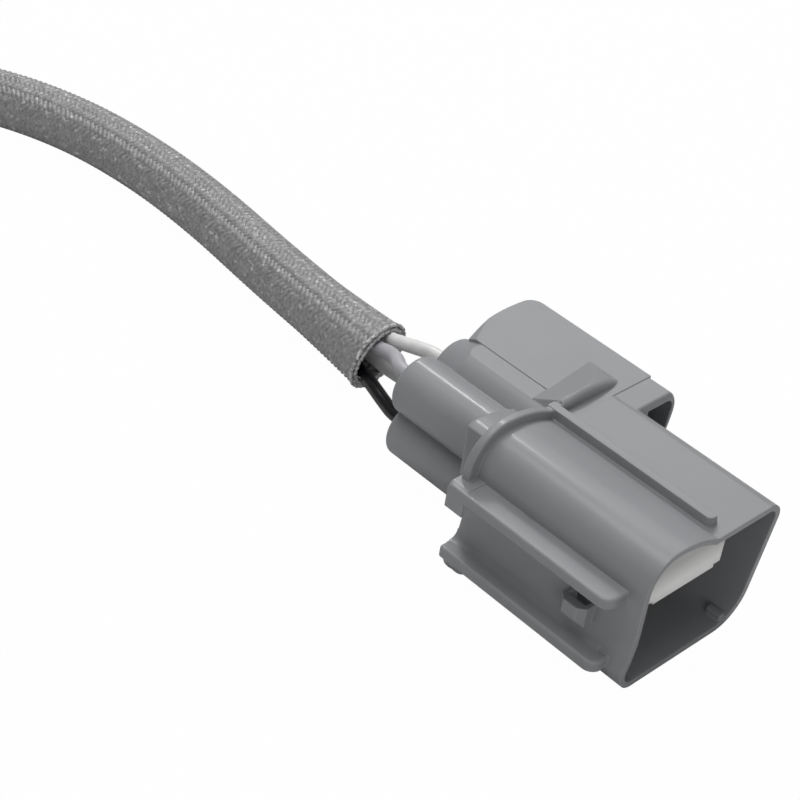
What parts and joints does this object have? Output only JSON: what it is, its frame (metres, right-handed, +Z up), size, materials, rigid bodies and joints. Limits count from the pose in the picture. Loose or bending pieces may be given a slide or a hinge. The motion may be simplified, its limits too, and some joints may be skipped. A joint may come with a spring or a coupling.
{
  "type": "oxygen sensor",
  "caption": "Heated oxygen sensor: threaded hexagon body with a slotted tip, braided lead and a moulded grey harness connector with bracket slot.",
  "frame": {"origin": "centre of the connector's flat base, which lies on the surface", "axes": "+X out of the connector's mouth, along the mating direction; +Y towards the bracket slot; +Z up from the base"},
  "size_m": [0.1812, 0.1329, 0.022],
  "materials": {
    "housing_plastic": "moulded, fine even grain, semi-matt",
    "retainer_plastic": "moulded, smooth, off-white",
    "terminal_metal": "tin plated",
    "seal_silicone": "smooth silicone",
    "wire_white": "extruded insulation",
    "wire_grey": "extruded insulation",
    "wire_black": "extruded insulation",
    "glass_braid": "fine herringbone glass-fibre braid",
    "stainless_steel": "drawn, satin",
    "grommet_rubber": "moulded fluoro rubber",
    "contact_metal": "plated spring strip",
    "white_ceramic": "fired, matt",
    "element_ceramic": "fired, porous coat at the tip",
    "heater_ceramic": "fired, dark grey",
    "talc_powder": "pressed powder",
    "plated_steel": "zinc-nickel plated, turned",
    "gasket_steel": "folded sheet steel",
    "hot_steel": "drawn stainless steel"
  },
  "bodies": {
    "root": {"connector_housing": "housing_plastic", "terminal_retainer": "retainer_plastic", "terminal_1": "terminal_metal", "terminal_2": "terminal_metal", "terminal_3": "terminal_metal", "terminal_4": "terminal_metal", "wire_seal_1": "seal_silicone", "wire_seal_2": "seal_silicone", "wire_seal_3": "seal_silicone", "wire_seal_4": "seal_silicone", "ground_wire": "wire_grey", "heater_wire_1": "wire_white", "signal_wire": "wire_black", "heater_wire_2": "wire_white", "braided_sleeve": "glass_braid", "rear_shell": "stainless_steel", "wire_grommet": "grommet_rubber", "heater_contact_1": "contact_metal", "heater_contact_2": "contact_metal", "signal_contact": "contact_metal", "ground_contact": "contact_metal", "ceramic_bushing": "white_ceramic", "zirconia_element": "element_ceramic", "heater_rod": "heater_ceramic", "talc_seal": "talc_powder", "support_ring": "white_ceramic", "seat_washer": "plated_steel", "hex_shell": "plated_steel", "gasket_ring": "gasket_steel", "inner_protection_tube": "hot_steel", "outer_protection_tube": "hot_steel"}
  },
  "joints": []
}
